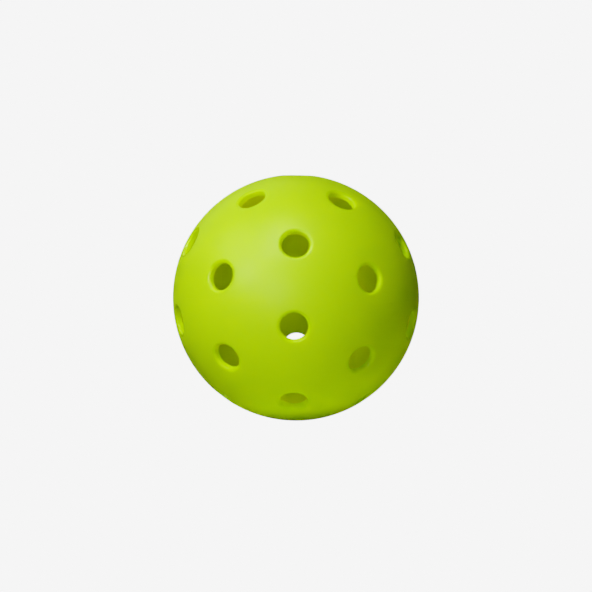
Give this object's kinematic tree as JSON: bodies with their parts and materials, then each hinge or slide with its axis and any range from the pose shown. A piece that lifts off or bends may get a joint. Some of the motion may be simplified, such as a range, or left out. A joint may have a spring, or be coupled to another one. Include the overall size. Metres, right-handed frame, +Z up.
{
  "type": "pickleball ball",
  "caption": "Hollow lime-green plastic ball with round air holes all over, moulded as half shells that lap and are welded at the equator, struck with a paddle.",
  "frame": {"origin": "centre of the ball", "axes": "+Z up through the two polar holes, square to the seam; -Y is the front, where a hole of the middle row sits above the seam and a hole of the shallow row below it"},
  "size_m": [0.074, 0.074, 0.0734],
  "materials": {
    "shell_plastic": "semi-matte moulded polyethylene, lime yellow-green, slightly translucent",
    "weld_plastic": "the same plastic after melting, smooth and a little darker"
  },
  "bodies": {
    "root": {"upper_half_shell": "shell_plastic", "lower_half_shell": "shell_plastic", "weld_ring": "weld_plastic"}
  },
  "joints": []
}
